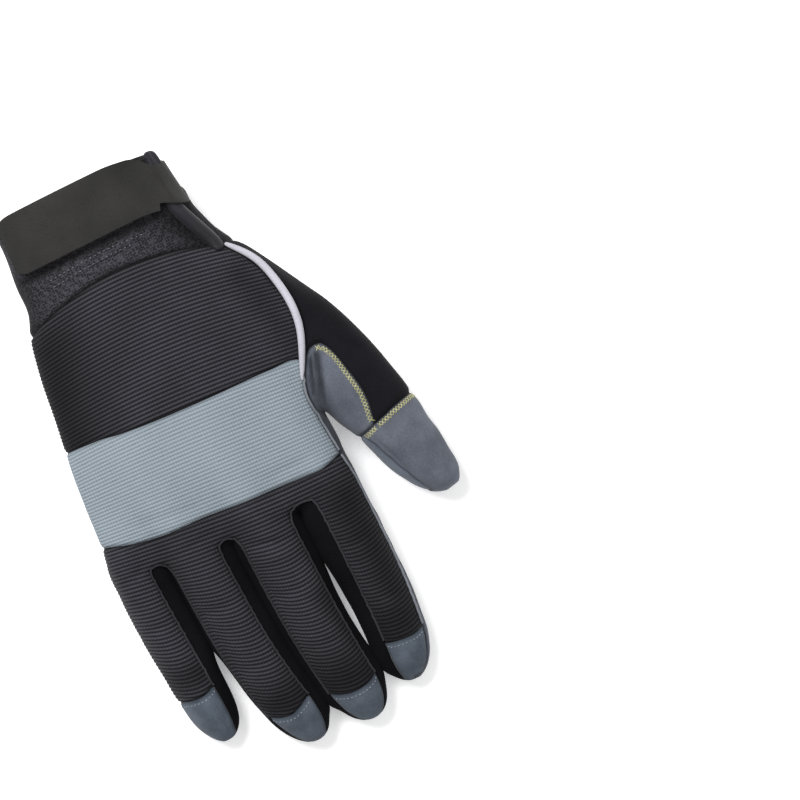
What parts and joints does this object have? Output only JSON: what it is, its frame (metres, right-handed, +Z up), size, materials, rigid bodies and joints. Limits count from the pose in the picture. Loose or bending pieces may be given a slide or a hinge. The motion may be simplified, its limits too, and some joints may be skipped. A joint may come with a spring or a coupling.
{
  "type": "mechanic glove",
  "caption": "Right-hand mechanic's glove with suede palm and caps, ribbed stretch back, padded cuff and strap, lying palm down with its finger hollows open from the wrist",
  "frame": {"origin": "under the middle of the glove's bounding box, on the surface that it lies on", "axes": "+Y runs from the cuff's opening to the fingertips, +Z up out of the back of the hand, and the thumb is on the -X side"},
  "size_m": [0.1448, 0.2452, 0.039],
  "materials": {
    "suede_grey": "matt synthetic suede, blue-grey",
    "suede_cap": "matt synthetic suede, darker blue-grey",
    "knit_black": "black stretch knit with ribs across the hand",
    "knit_band": "light blue-grey ribbed knit",
    "thumb_knit": "smooth near-black stretch fabric",
    "piping_grey": "light grey cord piping",
    "cuff_knit": "charcoal dotted knit over padding",
    "cuff_binding": "charcoal folded binding",
    "strap_web": "smooth dark grey webbing",
    "tab_rubber": "moulded grey rubber, satin"
  },
  "bodies": {
    "root": {"palm_panel": "suede_grey", "palm_pad_outer": "suede_grey", "palm_pad_inner": "suede_grey", "back_of_hand": "knit_black", "knuckle_band": "knit_band", "finger_back_panel": "knit_black", "fingertip_cap_index": "suede_cap", "fingertip_cap_middle": "suede_cap", "fingertip_cap_ring": "suede_cap", "fingertip_cap_little": "suede_cap", "fourchette_index_middle": "knit_black", "fourchette_middle_ring": "knit_black", "fourchette_ring_little": "knit_black", "thumb_saddle": "suede_grey", "thumb_front": "suede_grey", "thumb_back": "thumb_knit", "thumb_cap": "suede_cap", "thumb_piping": "piping_grey", "cuff": "cuff_knit", "slit_binding": "cuff_binding", "wrist_strap": "strap_web", "pull_tab": "tab_rubber"}
  },
  "joints": []
}
